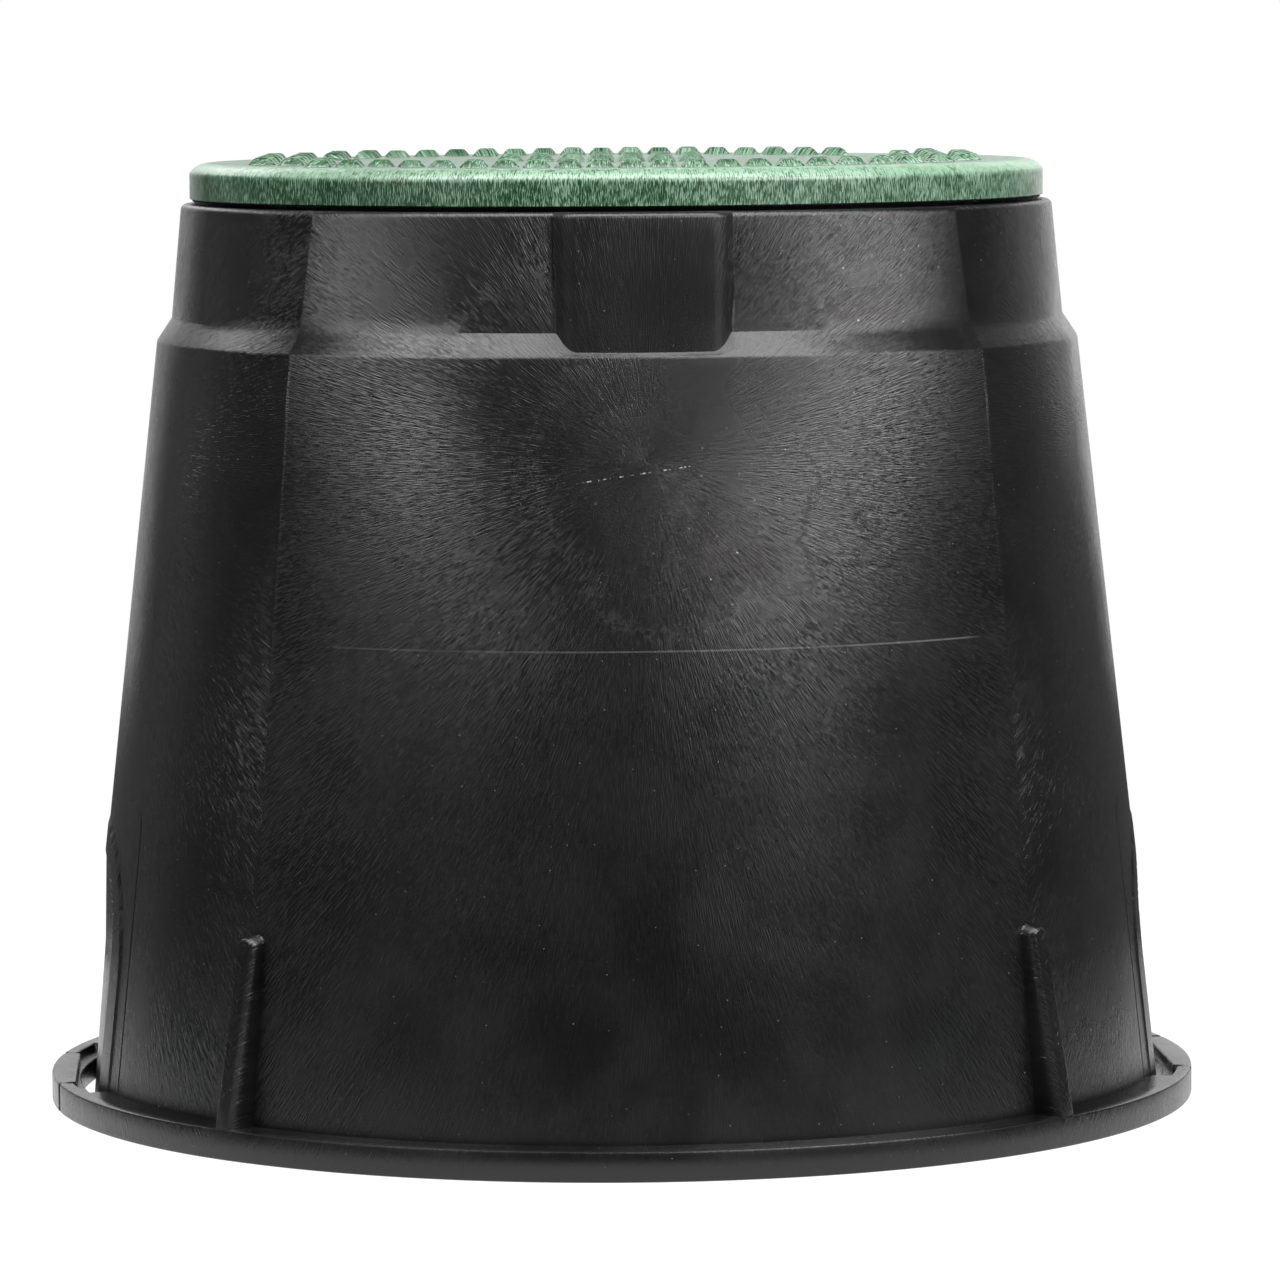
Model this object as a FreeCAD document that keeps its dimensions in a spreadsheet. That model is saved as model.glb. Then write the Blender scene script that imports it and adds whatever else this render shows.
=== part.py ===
"""Round irrigation valve box with a studded lift-off lid, as a parametric document.

Millimetres, +Z up. The origin is the centre of the flange's underside. The front boss faces -Y and
the two pipe knock-outs face -X and +X.
"""
import FreeCAD, Part
import math
import os

import Sketcher

Vector = FreeCAD.Vector
UP = Vector(0, 0, 1)
ALONG_X = Vector(1, 0, 0)

SIZES = {
    # Flange and flared wall
    "flange_r": 165.0,
    "flange_h": 8.5,
    "wall": 4.2,
    "wall_foot_r": 156.3,
    # Shoulder, collar and rim; the crease radii are measured at the four diagonals
    "shoulder_z": 218.5,
    "shoulder_r": 132.1,
    "shoulder_crease_r": 134.7,
    "collar_z": 225.0,
    "collar_r": 127.8,
    "collar_crease_r": 130.3,
    "rim_z": 257.5,
    "rim_r": 124.9,
    "rim_round": 2.6,
    # Lid seat inside the rim
    "seat_depth": 10.5,
    "seat_thick": 4.0,
    "seat_r": 120.4,
    "mouth_r": 109.0,
    # Lip of the rim that closes the gap below the lid from within
    "lip_thick": 1.2,
    "lip_clear": 0.3,
    # Bosses at the front and at the back
    "boss_width": 49.5,
    "boss_face_r": 131.2,
    "boss_round": 5.5,
    # Gusset ribs at the diagonals
    "rib_thick": 6.0,
    "rib_top_z": 60.5,
    "rib_top_r": 153.6,
    "rib_nose": 3.0,
    "rib_foot_inset": 0.6,
    # Pipe knock-outs: a raised arch band round a recessed arch panel
    "band_half": 48.5,
    "band_top_z": 80.0,
    "band_round": 37.0,
    "band_proud": 0.4,
    "panel_half": 39.0,
    "panel_top_z": 71.0,
    "panel_round": 28.0,
    "panel_foot_r": 152.9,
    "panel_bend_z": 46.0,
    "panel_bend_r": 149.0,
    "panel_top_r": 148.5,
    "panel_thick": 2.0,
    # Break-out bridges of the flange
    "bridge_half": 29.5,
    "bridge_thick": 7.5,
    "shelf_drop": 2.5,
    "shelf_half": 48.5,
    "shelf_r": 161.0,
    "slot_half": 36.0,
    "slot_r": 156.6,
    "notch_depth": 1.6,
    # Lid
    "lid_r": 122.3,
    "lid_gap": 1.4,
    "lid_edge_h": 10.1,
    "lid_round": 5.8,
    "lid_thick": 4.0,
    "plug_clear": 0.8,
    "plug_thick": 4.0,
    "seat_clear": 0.3,
    "lid_rib_thick": 3.0,
    "lid_rib_depth": 10.0,
    "lid_hub_r": 14.0,
    # Anti-slip studs of the lid
    "stud_base": 7.9,
    "stud_top": 4.4,
    "stud_h": 2.0,
    "stud_root": 0.2,
    "stud_pitch": 17.34,
    "stud_turn": -3.3,
    # Fields of studs: a ring near the edge, and a disc in the middle
    "stud_field_r": 113.5,
    "stud_ring_r": 86.0,
    "stud_core_r": 31.0,
    # Patch of the ring without studs
    "bare_x": 75.5,
    "bare_y": 66.0,
    "bare_width": 17.0,
    "bare_length": 72.0,
}
LID_RIB_COUNT = 8
EDGE_ROUND_STEPS = 3
EDGE_START_TURN = math.pi / 6

doc = FreeCAD.newDocument("valve_box")
sheet = doc.addObject("Spreadsheet::Sheet", "Sizes")
for row, (alias, length) in enumerate(SIZES.items(), start=1):
    sheet.set(f"A{row}", alias)
    sheet.set(f"B{row}", str(length))
    sheet.setAlias(f"B{row}", alias)
doc.recompute()


def size(alias):
    """The number in the sheet's cell of that name."""
    return float(sheet.get(alias))


def cells(formula):
    """The formula with each size name written as a cell of the sheet."""
    return " ".join("Sizes." + word if word in SIZES else word for word in formula.split())


def bind(target, **formulas):
    """Bind properties of an object to formulas of sizes; names and signs are set apart by spaces."""
    for name, formula in formulas.items():
        target.setExpression(name, cells(formula))
    return target


def place(target, **formulas):
    """Bind x, y or z of an object's Placement to formulas of sizes."""
    for axis, formula in formulas.items():
        target.setExpression(f".Placement.Base.{axis}", cells(formula))
    return target


def fix_point(sketch, geometry, point, x, y):
    """Hold one point of a sketch at x, y, given as formulas of sizes."""
    for kind, formula in (("DistanceX", x), ("DistanceY", y)):
        start = sketch.getPoint(geometry, point)
        datum = start.x if kind == "DistanceX" else start.y
        number = sketch.addConstraint(Sketcher.Constraint(kind, -1, 1, geometry, point, datum))
        sketch.setExpression(f"Constraints[{number}]", cells(formula))


def draw_polygon(sketch, corners):
    """Closed outline of straight lines, with every corner held by formulas of sizes."""
    count = len(corners)
    turn = 2 * math.pi / count
    start = [Vector(math.cos(turn * i), math.sin(turn * i), 0) for i in range(count)]
    for i in range(count):
        sketch.addGeometry(Part.LineSegment(start[i], start[(i + 1) % count]))
    for i in range(count):
        sketch.addConstraint(Sketcher.Constraint("Coincident", i, 2, (i + 1) % count, 1))
    for i, (x, y) in enumerate(corners):
        fix_point(sketch, i, 1, x, y)


def section(name, panel_r, crease_r, height):
    """Level outline of four equal arcs that meet at the diagonals.

    panel_r is the radius at the middle of each arc and crease_r the radius where two arcs meet.
    """
    sketch = doc.addObject("Sketcher::SketchObject", name)
    place(sketch, z=height)
    corner = f"( ( {crease_r} ) * sqrt(0.5) )"
    rise = f"( {panel_r} - {corner} )"
    quarter = math.pi / 2
    circle = Part.Circle(Vector(0, 0, 0), UP, size("shoulder_r"))
    for i in range(4):
        begin = (i - 0.5) * quarter
        sketch.addGeometry(Part.ArcOfCircle(circle, begin, begin + quarter))
    for i in range(4):
        sketch.addConstraint(Sketcher.Constraint("Coincident", i, 2, (i + 1) % 4, 1))
    for i, (sign_x, sign_y) in enumerate(((1, -1), (1, 1), (-1, 1), (-1, -1))):
        fix_point(sketch, i, 1, f"{sign_x} * {corner}", f"{sign_y} * {corner}")
    for i in range(3):
        sketch.addConstraint(Sketcher.Constraint("Equal", i, i + 1))
    number = sketch.addConstraint(Sketcher.Constraint("Radius", 0, size("shoulder_r")))
    sketch.setExpression(f"Constraints[{number}]", cells(f"( {corner} ^2 + {rise} ^2 ) / ( 2 * {rise} )"))
    return sketch


def ruled_loft(name, outlines):
    """Solid of straight-ruled walls through a list of level outlines."""
    loft = doc.addObject("Part::Loft", name)
    loft.Sections = outlines
    loft.Solid = True
    loft.Ruled = True
    return loft


def cylinder(name, radius, base, height):
    """Upright cylinder on the axis."""
    return place(bind(doc.addObject("Part::Cylinder", name), Radius=radius, Height=height), z=base)


def cone(name, foot_r, top_r, height):
    """Upright cone frustum on the axis, from the ground up."""
    return bind(doc.addObject("Part::Cone", name), Radius1=foot_r, Radius2=top_r, Height=height)


def centred_box(name, length, width, base, height):
    """Box centred on the axis."""
    box = bind(doc.addObject("Part::Box", name), Length=length, Width=width, Height=height)
    return place(box, x=f"- ( {length} ) / 2", y=f"- ( {width} ) / 2", z=base)


def combine(kind, name, first, second):
    """Part::Cut or Part::Common of two objects."""
    result = doc.addObject(f"Part::{kind}", name)
    result.Base = first
    result.Tool = second
    return result


def fuse(name, shapes):
    """One solid of several objects."""
    result = doc.addObject("Part::MultiFuse", name)
    result.Shapes = shapes
    return result


def round_edges(name, base, radius, wanted):
    """Fillet of the straight edges that the function wanted picks."""
    doc.recompute()
    fillet = doc.addObject("Part::Fillet", name)
    fillet.Base = base
    fillet.Edges = [
        (number, radius, radius)
        for number, edge in enumerate(base.Shape.Edges, start=1)
        if wanted(edge)
    ]
    return fillet


def is_upright(edge):
    """True for a straight edge along Z."""
    run = edge.Vertexes[-1].Point - edge.Vertexes[0].Point
    return len(edge.Vertexes) == 2 and math.hypot(run.x, run.y) < 1e-6


def is_top_edge_along_x(box):
    """Test that picks the two upper edges of a box that run along X."""
    top = box.Shape.BoundBox.ZMax

    def test(edge):
        run = edge.Vertexes[-1].Point - edge.Vertexes[0].Point
        return abs(edge.Vertexes[0].Z - top) < 1e-6 and math.hypot(run.y, run.z) < 1e-6

    return test


def arch(name, length, half, base, top, radius):
    """Through body of an arch outline, square at the foot and round at both upper corners."""
    block = centred_box(name + "_block", length, f"2 * {half}", base, f"{top} - ( {base} )")
    doc.recompute()
    return round_edges(name, block, size(radius), is_top_edge_along_x(block))


def make_outer_wall():
    """Flared wall, shoulder, collar and rounded rim, as one lofted solid."""
    bevel = 1 - math.sqrt(0.5)
    return ruled_loft("outer_wall", [
        section("wall_foot", "wall_foot_r", "wall_foot_r", "0"),
        section("shoulder_low", "shoulder_r", "shoulder_crease_r", "shoulder_z"),
        section("shoulder_high", "collar_r", "collar_crease_r", "collar_z"),
        section("rim_low", "rim_r", "rim_r", "rim_z - rim_round"),
        section("rim_mid", f"( rim_r - {bevel} * rim_round )", f"( rim_r - {bevel} * rim_round )",
                f"rim_z - {bevel} * rim_round"),
        section("rim_high", "( rim_r - rim_round )", "( rim_r - rim_round )", "rim_z"),
    ])


def make_bosses():
    """Front and back boss as one through body, up to the rim."""
    slab = centred_box("boss_slab", "boss_width", "3 * boss_face_r", "shoulder_z", "rim_z - shoulder_z")
    drum = cylinder("boss_drum", "boss_face_r", "shoulder_z", "rim_z - shoulder_z")
    prism = combine("Common", "boss_prism", slab, drum)
    return round_edges("bosses", prism, size("boss_round"), is_upright)


def make_ribs():
    """Two slabs across the diagonals whose ends are the four gusset ribs."""
    slabs = []
    foot = "( flange_r - rib_foot_inset )"
    half = [
        (foot, "0"),
        (foot, "flange_h"),
        ("rib_top_r", "rib_top_z - rib_nose"),
        ("rib_top_r - rib_nose", "rib_top_z"),
    ]
    other_half = [(f"- ( {x} )", y) for x, y in reversed(half)]
    for name, angle in (("rib_slab_right", 45), ("rib_slab_left", -45)):
        sketch = doc.addObject("Sketcher::SketchObject", name + "_outline")
        upright = FreeCAD.Rotation(ALONG_X, 90)
        sketch.Placement.Rotation = FreeCAD.Rotation(UP, angle).multiply(upright)
        draw_polygon(sketch, half + other_half)
        slab = doc.addObject("Part::Extrusion", name)
        slab.Base = sketch
        slab.DirMode = "Normal"
        slab.Solid = True
        slab.Symmetric = True
        slabs.append(bind(slab, LengthFwd="rib_thick"))
    return slabs


def panel_core(name, inset):
    """Turned core with the knock-out panels' faces, inset from them: flared at the foot, steep above it."""
    foot_r, bend_r, top_r = (f"panel_{level}_r - {inset}" for level in ("foot", "bend", "top"))
    low = cone(name + "_low", foot_r, bend_r, "panel_bend_z")
    high = place(cone(name + "_high", bend_r, top_r, "panel_top_z - panel_bend_z"), z="panel_bend_z")
    return fuse(name, [low, high])


def make_panel_backing():
    """Fill inside the wall's foot, which keeps the knock-out panels at their full thickness."""
    outline = arch("backing_arch", "3 * wall_foot_r", "( panel_half + panel_thick )", "0", "panel_top_z",
                   "panel_round")
    return combine("Cut", "panel_backing", outline, panel_core("backing_core", "panel_thick"))


def make_cavity():
    """Inside space: the flared room, the hollow behind the bosses, the mouth and the lid's recess."""
    seat_z = "rim_z - seat_depth"
    room_top = f"{seat_z} - seat_thick"
    room = ruled_loft("room", [
        section("room_foot", "( wall_foot_r - wall )", "( wall_foot_r - wall )", "0"),
        section("room_shoulder", "( shoulder_r - wall )", "( shoulder_crease_r - wall )", "shoulder_z"),
        section("room_collar", "( collar_r - wall )", "( collar_crease_r - wall )", "collar_z"),
        section("room_top", "( rim_r - wall )", "( rim_r - wall )", room_top),
    ])
    free_room = combine("Cut", "free_room", room, make_panel_backing())
    hollow_slab = centred_box("hollow_slab", "boss_width - 2 * wall", "3 * boss_face_r",
                              "shoulder_z", f"{room_top} - shoulder_z")
    hollow_drum = cylinder("hollow_drum", "boss_face_r - wall", "shoulder_z", f"{room_top} - shoulder_z")
    hollow = combine("Common", "boss_hollow", hollow_slab, hollow_drum)
    mouth = cylinder("mouth", "mouth_r", "shoulder_z", "rim_z - shoulder_z")
    recess = cylinder("lid_recess", "seat_r", seat_z, "seat_depth + lid_gap")
    return fuse("cavity", [free_room, hollow, mouth, recess])


def make_knock_out_band():
    """Raised arch bands at both sides, as one through body with the wall's own taper."""
    taper = cone("band_taper", "wall_foot_r + band_proud", "shoulder_r + band_proud", "shoulder_z")
    outline = arch("band_arch", "3 * wall_foot_r", "band_half", "0", "band_top_z", "band_round")
    return combine("Common", "knock_out_band", taper, outline)


def make_knock_out_cuts():
    """Recess round each thin knock-out panel, the shelf and slot at its foot, and the bridge's notches."""
    bridge_x = "( flange_r - bridge_thick )"
    shelf_z = "( flange_h - shelf_drop )"
    outline = arch("panel_arch", f"2 * {bridge_x}", "panel_half", shelf_z, "panel_top_z", "panel_round")
    cuts = [combine("Cut", "panel_recess", outline, panel_core("recess_core", "0"))]

    shelf_drum = cylinder("shelf_drum", "shelf_r", shelf_z, "2 * shelf_drop")
    shelf_block = centred_box("shelf_block", "2 * flange_r", "2 * shelf_half", shelf_z, "2 * shelf_drop")
    shelf_core = cone("shelf_core", "wall_foot_r + band_proud", "shoulder_r + band_proud", "shoulder_z")
    shelf = combine("Cut", "shelf", combine("Common", "shelf_area", shelf_block, shelf_drum), shelf_core)
    bridge_bar = centred_box("bridge_bar", "2 * flange_r", "2 * bridge_half", shelf_z, "2 * shelf_drop")
    bridge_gap = centred_box("bridge_gap", f"2 * {bridge_x}", "3 * bridge_half", shelf_z, "2 * shelf_drop")
    bridges = combine("Cut", "bridges", bridge_bar, bridge_gap)
    cuts.append(combine("Cut", "shelf_beside_bridges", shelf, bridges))

    slot_block = centred_box("slot_block", f"2 * {bridge_x}", "2 * slot_half", "0", "flange_h")
    slot_drum = cylinder("slot_drum", "slot_r", "0", "flange_h")
    slot_band = combine("Common", "slot_band", slot_block, slot_drum)
    cuts.append(combine("Cut", "slot", slot_band, panel_core("slot_core", "0")))

    for side_x in (-1, 1):
        for side_y in (-1, 1):
            cuts.extend(make_bridge_notches(side_x, side_y))
    return cuts


def make_bridge_notches(side_x, side_y):
    """Upright notch in the flange's face and level notch in its top, at one end of a bridge."""
    label = f"{'left' if side_x < 0 else 'right'}_{'front' if side_y < 0 else 'back'}"
    end_x = "sqrt( flange_r ^2 - bridge_half ^2 )"
    face_notch = bind(doc.addObject("Part::Prism", "face_notch_" + label),
                      Circumradius="notch_depth", Height="flange_h")
    face_notch.Polygon = 4
    place(face_notch, x=f"{side_x} * {end_x}", y=f"{side_y} * bridge_half")
    top_notch = bind(doc.addObject("Part::Prism", "top_notch_" + label),
                     Circumradius="notch_depth", Height="2 * bridge_thick")
    top_notch.Polygon = 4
    top_notch.Placement.Rotation = FreeCAD.Rotation(Vector(0, 1, 0), 90 * side_x)
    place(top_notch, x=f"{side_x} * ( flange_r - bridge_thick )", y=f"{side_y} * bridge_half", z="flange_h")
    return [face_notch, top_notch]


def make_box_body():
    """The box: outside forms fused, then the knock-out cuts and the cavity taken away."""
    flange = cylinder("flange", "flange_r", "0", "flange_h")
    lip = cylinder("rim_lip", "seat_r + lip_thick", "rim_z - rim_round", "rim_round + lid_gap - lip_clear")
    rounds = [make_outer_wall(), flange, lip, make_bosses(), make_knock_out_band()]
    outside = fuse("outside", rounds + make_ribs())
    inside = fuse("inside", [make_cavity()] + make_knock_out_cuts())
    body = combine("Cut", "box_body", outside, inside)
    body.Label = "box_body"
    return body


def origin_plane(body, role):
    """One of a body's own origin planes or axes."""
    return next(item for item in body.Origin.OriginFeatures if item.Role == role)


def body_sketch(body, name, role, corners):
    """Polygon sketch on one of the body's origin planes."""
    sketch = body.newObject("Sketcher::SketchObject", name)
    sketch.AttachmentSupport = [(origin_plane(body, role), "")]
    sketch.MapMode = "FlatFace"
    draw_polygon(sketch, corners)
    return sketch


def make_lid_disc():
    """Lid without studs: turned disc with its plug ring, an edge rounded in steps and radial ribs below.

    The rounding leaves the upright skirt at a crease, leaning in by the start turn, and ends level.
    """
    edge_z = "( rim_z + lid_gap )"
    top_z = f"( {edge_z} + lid_edge_h )"
    plate_z = f"( {top_z} - lid_thick )"
    plug_z = "( rim_z - seat_depth + seat_clear )"
    plug_r = "( seat_r - plug_clear )"
    plug_in_r = f"( {plug_r} - plug_thick )"
    rib_z = f"( {plate_z} - lid_rib_depth )"
    step_turn = (math.pi / 2 - EDGE_START_TURN) / EDGE_ROUND_STEPS
    turns = [EDGE_START_TURN + step * step_turn for step in range(EDGE_ROUND_STEPS + 1)]
    rounded_edge = [
        (f"lid_r - {math.cos(EDGE_START_TURN) - math.cos(turn)} * lid_round",
         f"{top_z} - {1 - math.sin(turn)} * lid_round")
        for turn in turns
    ]

    body = doc.addObject("PartDesign::Body", "lid_disc")
    profile = body_sketch(body, "lid_profile", "XZ_Plane", [
        ("0", rib_z),
        ("lid_hub_r", rib_z),
        ("lid_hub_r", plate_z),
        (plug_in_r, plate_z),
        (plug_in_r, plug_z),
        (plug_r, plug_z),
        (plug_r, edge_z),
        ("lid_r", edge_z),
        *rounded_edge,
        ("0", top_z),
    ])
    disc = body.newObject("PartDesign::Revolution", "lid_turned")
    disc.Profile = profile
    disc.ReferenceAxis = (origin_plane(body, "Z_Axis"), [""])
    disc.Angle = 360
    doc.recompute()

    rib_outline = body_sketch(body, "lid_rib_outline", "XZ_Plane", [
        ("lid_hub_r / 2", rib_z),
        (f"{plug_in_r} + plug_thick / 2", rib_z),
        (f"{plug_in_r} + plug_thick / 2", f"{plate_z} + lid_thick / 2"),
        ("lid_hub_r / 2", f"{plate_z} + lid_thick / 2"),
    ])
    rib = body.newObject("PartDesign::Pad", "lid_rib")
    rib.Profile = rib_outline
    rib.Midplane = True
    bind(rib, Length="lid_rib_thick")
    doc.recompute()
    ribs = body.newObject("PartDesign::PolarPattern", "lid_ribs")
    ribs.Originals = [rib]
    ribs.Axis = (origin_plane(body, "Z_Axis"), [""])
    ribs.Angle = 360
    ribs.Occurrences = LID_RIB_COUNT
    body.Tip = ribs
    return body


def make_stud_field():
    """Truncated pyramids on a staggered grid, where it lies in the ring and the core and off the bare patch.

    The columns stand half a step off the lid's axis, and the whole grid is turned about it.
    """
    half_pitch = size("stud_pitch") / 2
    base_half = size("stud_base") / 2
    top_half = size("stud_top") / 2
    foot_z = size("rim_z") + size("lid_gap") + size("lid_edge_h")
    root = size("stud_root")
    root_half = base_half + (base_half - top_half) * root / size("stud_h")

    def is_in_field(x, y):
        in_patch = (abs(x - size("bare_x")) < size("bare_width") / 2
                    and abs(y - size("bare_y")) < size("bare_length") / 2)
        away = math.hypot(x, y)
        in_ring = size("stud_ring_r") < away < size("stud_field_r") - base_half
        return (in_ring or away < size("stud_core_r")) and not in_patch

    stud = Part.makeWedge(-root_half, foot_z - root, -root_half, -top_half, -top_half,
                          root_half, foot_z + size("stud_h"), root_half, top_half, top_half)
    stud.rotate(Vector(0, 0, 0), ALONG_X, 90)
    reach = math.ceil(size("stud_field_r") / half_pitch)
    studs = [
        stud.translated(Vector((column + 0.5) * half_pitch, line * half_pitch, 0))
        for line in range(-reach, reach + 1)
        for column in range(-reach, reach + 1)
        if (line + column) % 2 == 0 and is_in_field((column + 0.5) * half_pitch, line * half_pitch)
    ]
    grid = Part.makeCompound(studs)
    grid.rotate(Vector(0, 0, 0), UP, size("stud_turn"))
    field = doc.addObject("Part::Feature", "stud_field")
    field.Shape = grid
    return field


def make_lid():
    """The lid: disc and studs as one moulding."""
    lid = fuse("lid", [make_lid_disc(), make_stud_field()])
    lid.Label = "lid"
    return lid


subparts = [make_box_body(), make_lid()]
doc.recompute()

failed = [item.Name for item in doc.Objects if "Invalid" in item.State or "Error" in item.State]
if failed:
    raise RuntimeError("not built: " + ", ".join(failed))
os.makedirs("parts", exist_ok=True)
for subpart in subparts:
    shape = subpart.Shape
    if shape.isNull() or not shape.isValid():
        raise RuntimeError("bad shape: " + subpart.Label)
    print(subpart.Label, "solids", len(shape.Solids), "volume", round(shape.Volume), shape.BoundBox)
    shape.exportStep(f"parts/{subpart.Label}.step")
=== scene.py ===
"""Looks of a round irrigation valve box: moulded black box, studded green lid, plain studio.

Metres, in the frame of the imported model: +Z up, the front boss towards -Y and the pipe knock-outs
towards -X and +X. Angles round the axis start at the front and grow towards +X.
"""

import math

import bpy
import numpy as np
from mathutils import Matrix, Vector


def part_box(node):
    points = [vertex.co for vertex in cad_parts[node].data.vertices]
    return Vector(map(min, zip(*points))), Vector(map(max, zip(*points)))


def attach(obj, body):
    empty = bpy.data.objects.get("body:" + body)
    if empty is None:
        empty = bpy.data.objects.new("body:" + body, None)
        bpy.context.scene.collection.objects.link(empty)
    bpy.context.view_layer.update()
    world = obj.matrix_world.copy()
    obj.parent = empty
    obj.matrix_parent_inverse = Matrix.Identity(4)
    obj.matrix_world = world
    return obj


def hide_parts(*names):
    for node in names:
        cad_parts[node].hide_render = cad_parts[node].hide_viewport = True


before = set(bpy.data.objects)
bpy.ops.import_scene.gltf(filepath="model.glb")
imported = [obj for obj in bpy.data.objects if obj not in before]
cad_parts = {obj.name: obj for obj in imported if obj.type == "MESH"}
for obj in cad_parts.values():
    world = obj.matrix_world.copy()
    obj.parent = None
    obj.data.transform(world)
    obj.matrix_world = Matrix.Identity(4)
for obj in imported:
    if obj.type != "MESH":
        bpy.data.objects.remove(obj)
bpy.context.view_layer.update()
_, box_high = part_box("box_body")
lid_low, lid_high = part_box("lid")

MM = 0.001
FULL_TURN = 2 * math.pi
QUARTER = math.pi / 2
DIAGONAL = math.pi / 4

# Box wall, shoulder, collar and rim
FLANGE_R = box_high.y
LID_GAP = 1.4 * MM
LIP_THICK = 1.2 * MM
LIP_FOOT = 0.2 * MM
LIP_CLEAR = 0.3 * MM
LIP_H = LID_GAP - LIP_CLEAR
LIP_EDGE = 0.2 * MM
RIM_Z = box_high.z - LIP_H
WALL = 4.2 * MM
WALL_FOOT_R = 156.3 * MM
SHOULDER_Z = 218.5 * MM
SHOULDER_R = 132.1 * MM
SHOULDER_CREASE_R = 134.7 * MM
SHOULDER_ROUND = 0.5 * MM
CREASE_BEAD = 0.11 * MM
CREASE_HALF = 0.6 * MM
COLLAR_Z = 225.0 * MM
COLLAR_R = 127.8 * MM
COLLAR_CREASE_R = 130.3 * MM
COLLAR_CREASE_EASE = 0.02
RIM_R = 124.9 * MM
RIM_ROUND = 1.7 * MM
SEAT_R = 120.4 * MM
SEAT_DEPTH = 10.5 * MM
SEAT_THICK = 4.0 * MM
MOUTH_R = 109.0 * MM
SMALL_ROUND = 0.8 * MM

# Bosses at the front and back of the collar
BOSS_FACE_R = 131.2 * MM
BOSS_HALF = 25.2 * MM
BOSS_FLANK = 7.0 * MM
BOSS_EASE = 4.5 * MM
BOSS_SLOPE = 0.85

# Gusset ribs at the diagonals
RIB_HALF = 3.5 * MM
RIB_TOP_Z = 60.5 * MM
RIB_TOP_R = 154.8 * MM
RIB_NOSE = 2.8 * MM
RIB_FOOT_R = FLANGE_R - 0.6 * MM
RIB_EDGE = 1.6 * MM
RIB_DOME = 0.3

# Pipe knock-outs at both sides
BAND_HALF = 48.5 * MM
BAND_TOP_Z = 80.0 * MM
BAND_ROUND = 37.0 * MM
BAND_PROUD = 0.4 * MM
BAND_EASE = 0.3 * MM
PANEL_HALF = 39.0 * MM
PANEL_TOP_Z = 71.0 * MM
PANEL_ROUND = 28.0 * MM
PANEL_FOOT_R = 152.9 * MM
PANEL_BEND_Z = 46.0 * MM
PANEL_BEND_R = 149.0 * MM
PANEL_TOP_R = 148.5 * MM
PANEL_THICK = 2.0 * MM
PANEL_EASE = 0.4 * MM
SCORE_HALF = 56.5 * MM
SCORE_TOP_Z = 88.0 * MM
SCORE_ROUND = 5.0 * MM
SCORE_DEPTH = 0.35 * MM
SCORE_WIDTH = 0.55 * MM

# Flange with its break-out bridges
FLANGE_H = 8.5 * MM
FLANGE_IN_R = 154.0 * MM
BRIDGE_HALF = 29.5 * MM
BRIDGE_X = FLANGE_R - 7.5 * MM
SHELF_DROP = 2.5 * MM
SHELF_HALF = 48.5 * MM
SHELF_R = 161.0 * MM
SLOT_HALF = 36.0 * MM
SLOT_R = 156.6 * MM
NOTCH = 1.6 * MM
STEP_EASE = 0.3 * MM
STEP_LEAN = 0.2 * MM
FOOT_LIFT = 0.4 * MM

# Grids of the box wall and the flange: steps and margins; a rib's lines as shares of its half width
PANEL_REACH_DEG = 41.5
FRONT_STEP_DEG = 1.5
SIDE_STEP_DEG = 2
FLANGE_STEP_DEG = 2
BOSS_LINE_STEP = 0.4 * MM
BOSS_LINE_MARGIN = 1 * MM
ARCH_LINE_STEP = 0.27 * MM
ARCH_LINE_MARGIN = 0.8 * MM
SIDE_LINE_STEP = 1.5 * MM
SIDE_LINE_MARGIN = 2 * MM
BRIDGE_LINE_STEP = 0.4 * MM
BRIDGE_LINE_MARGIN = 2 * MM
LEAST_LINE_GAP = 0.1 * MM
RIB_LINES = (0, 0.18, 0.36, 0.5, 0.64, 0.76, 0.86, 0.93, 0.98, 1, 1.05, 1.2, 1.5)
FINE_ROW_STEP = 1.9 * MM
FINE_ROWS_TOP_Z = SCORE_TOP_Z + 3 * MM
NOSE_ROW_STEP = 0.35 * MM
NOSE_ROW_OVER = 0.4 * MM
NOSE_ROW_MARGIN = 1 * MM
WALL_ROW_STEP = 9 * MM
WALL_ROWS_TOP_Z = SHOULDER_Z - 4 * MM
SHOULDER_ROWS = 5
LEDGE_SHARES = (0.25, 0.5, 0.75, 1)
LEDGE_ROUND_MOST = 0.6
COLLAR_ROWS = 9
RIM_ROWS = 7
INSIDE_BEND_Z = 0.9 * SHOULDER_Z
SHELL_SHARP_DEG = 27

# Lid
LID_R = lid_high.y
LID_EDGE_H = 10.1 * MM
LID_ROUND = 5.8 * MM
LID_ROUND_START = math.pi / 6
LID_LOW_EDGE = 0.15 * MM
LID_THICK = 4.0 * MM
LID_EDGE_Z = RIM_Z + LID_GAP
LID_TOP_Z = LID_EDGE_Z + LID_EDGE_H
PLUG_R = SEAT_R - 0.8 * MM
PLUG_THICK = 4.0 * MM
PLUG_Z = lid_low.z
LID_HUB_R = 14.0 * MM
LID_RIB_HALF = 1.5 * MM
LID_RIB_DEPTH = 10.0 * MM
LID_RIB_COUNT = 8
LID_LINES = 288
LID_ROUND_ROWS = 9
LID_CORE_R = 6 * MM
SKIRT_ROW_STEP = 1.5 * MM
SKIRT_MARGINS = (2 * MM, 1 * MM)
STUD_BASE = 7.9 * MM
STUD_TOP = 4.4 * MM
STUD_H = lid_high.z - LID_TOP_Z
STUD_PITCH = 17.34 * MM
STUD_TURN = math.radians(-3.3)
STUD_FIELD_R = 112.0 * MM
STUD_RING_R = 86.0 * MM
STUD_CORE_R = 31.0 * MM
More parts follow.
